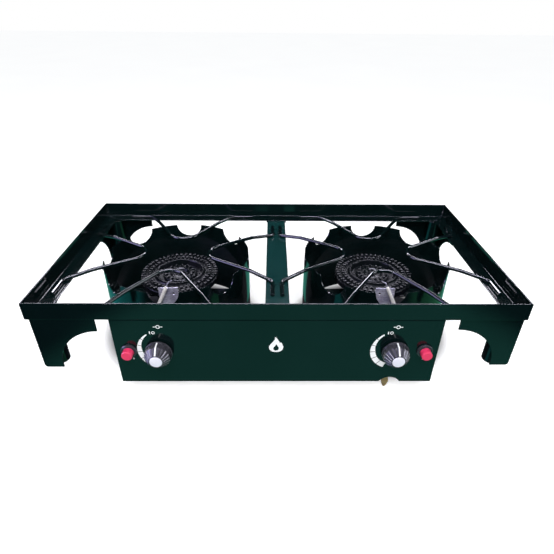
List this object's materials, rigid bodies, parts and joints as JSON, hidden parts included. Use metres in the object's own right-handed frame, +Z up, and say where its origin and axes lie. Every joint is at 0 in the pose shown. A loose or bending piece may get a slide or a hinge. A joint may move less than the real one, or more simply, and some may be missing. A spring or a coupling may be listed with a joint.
{
  "type": "camping stove",
  "caption": "Low two-burner outdoor gas stove: angle-iron frame with bent-wire pot supports over scalloped round wind guards, a front panel with control knobs and push igniters.",
  "frame": {"origin": "bottom centre of the whole stove, level with the end of the gas inlet", "axes": "+X to the right of someone facing the control panel, +Y to the back, +Z up"},
  "size_m": [0.78, 0.428, 0.192],
  "materials": {
    "enamel": "glossy dark green porcelain enamel, near black in reflection",
    "cast_iron": "bare cast iron, sand-cast grain",
    "brass": "turned brass, slightly dull",
    "zinc": "zinc-plated pressed steel",
    "black_plastic": "black moulded plastic with a satin gloss",
    "cap_metal": "bright plated disc",
    "red_plastic": "glossy red moulded plastic",
    "ceramic": "white glazed ceramic sleeve",
    "lead_sleeve": "silicone wire sleeve, satin"
  },
  "bodies": {
    "root": {"back_left_leg_bracket": "enamel", "back_left_leg_socket": "enamel", "back_rail": "enamel", "back_right_leg_bracket": "enamel", "back_right_leg_socket": "enamel", "centre_beam": "enamel", "control_panel": "enamel", "front_left_leg_bracket": "enamel", "front_left_leg_socket": "enamel", "front_rail": "enamel", "front_right_leg_bracket": "enamel", "front_right_leg_socket": "enamel", "gas_inlet": "brass", "left_back_wire": "enamel", "left_burner": "cast_iron", "left_burner_strap": "enamel", "left_electrode": "ceramic", "left_electrode_bracket": "zinc", "left_front_wire": "enamel", "left_igniter_body": "black_plastic", "left_igniter_nut": "black_plastic", "left_ignition_lead": "lead_sleeve", "left_inner_wire": "enamel", "left_jet": "brass", "left_mixing_tube": "cast_iron", "left_outer_wire": "enamel", "left_rail": "enamel", "left_spark_tip": "zinc", "left_valve": "brass", "left_wind_guard": "enamel", "manifold_pipe": "zinc", "pipe_bracket": "zinc", "right_back_wire": "enamel", "right_burner": "cast_iron", "right_burner_strap": "enamel", "right_electrode": "ceramic", "right_electrode_bracket": "zinc", "right_front_wire": "enamel", "right_igniter_body": "black_plastic", "right_igniter_nut": "black_plastic", "right_ignition_lead": "lead_sleeve", "right_inner_wire": "enamel", "right_jet": "brass", "right_mixing_tube": "cast_iron", "right_outer_wire": "enamel", "right_rail": "enamel", "right_spark_tip": "zinc", "right_valve": "brass", "right_wind_guard": "enamel"},
    "left_knob": {"left_knob": "black_plastic", "left_knob_cap": "cap_metal", "left_valve_stem": "brass"},
    "left_igniter_button": {"left_igniter_button": "red_plastic"},
    "left_air_shutter": {"left_air_shutter": "zinc"},
    "right_knob": {"right_knob": "black_plastic", "right_knob_cap": "cap_metal", "right_valve_stem": "brass"},
    "right_igniter_button": {"right_igniter_button": "red_plastic"},
    "right_air_shutter": {"right_air_shutter": "zinc"}
  },
  "joints": [
    {"name": "left_knob_turn", "type": "hinge", "parent": "root", "child": "left_knob", "pos_m": [-0.191, -0.201, 0.099], "axis": [0, -1, 0], "range_deg": [0, 210]},
    {"name": "left_igniter_press", "type": "slide", "parent": "root", "child": "left_igniter_button", "axis": [0, 1, 0], "range_m": [0, 0.006], "stiffness_N_per_m": 400},
    {"name": "left_air_shutter_turn", "type": "hinge", "parent": "root", "child": "left_air_shutter", "pos_m": [-0.191, -0.134, 0.099], "axis": [0, -1, 0], "range_deg": [0, 90]},
    {"name": "right_knob_turn", "type": "hinge", "parent": "root", "child": "right_knob", "pos_m": [0.191, -0.201, 0.099], "axis": [0, -1, 0], "range_deg": [0, 210]},
    {"name": "right_igniter_press", "type": "slide", "parent": "root", "child": "right_igniter_button", "axis": [0, 1, 0], "range_m": [0, 0.006], "stiffness_N_per_m": 400},
    {"name": "right_air_shutter_turn", "type": "hinge", "parent": "root", "child": "right_air_shutter", "pos_m": [0.191, -0.134, 0.099], "axis": [0, -1, 0], "range_deg": [0, 90]}
  ]
}
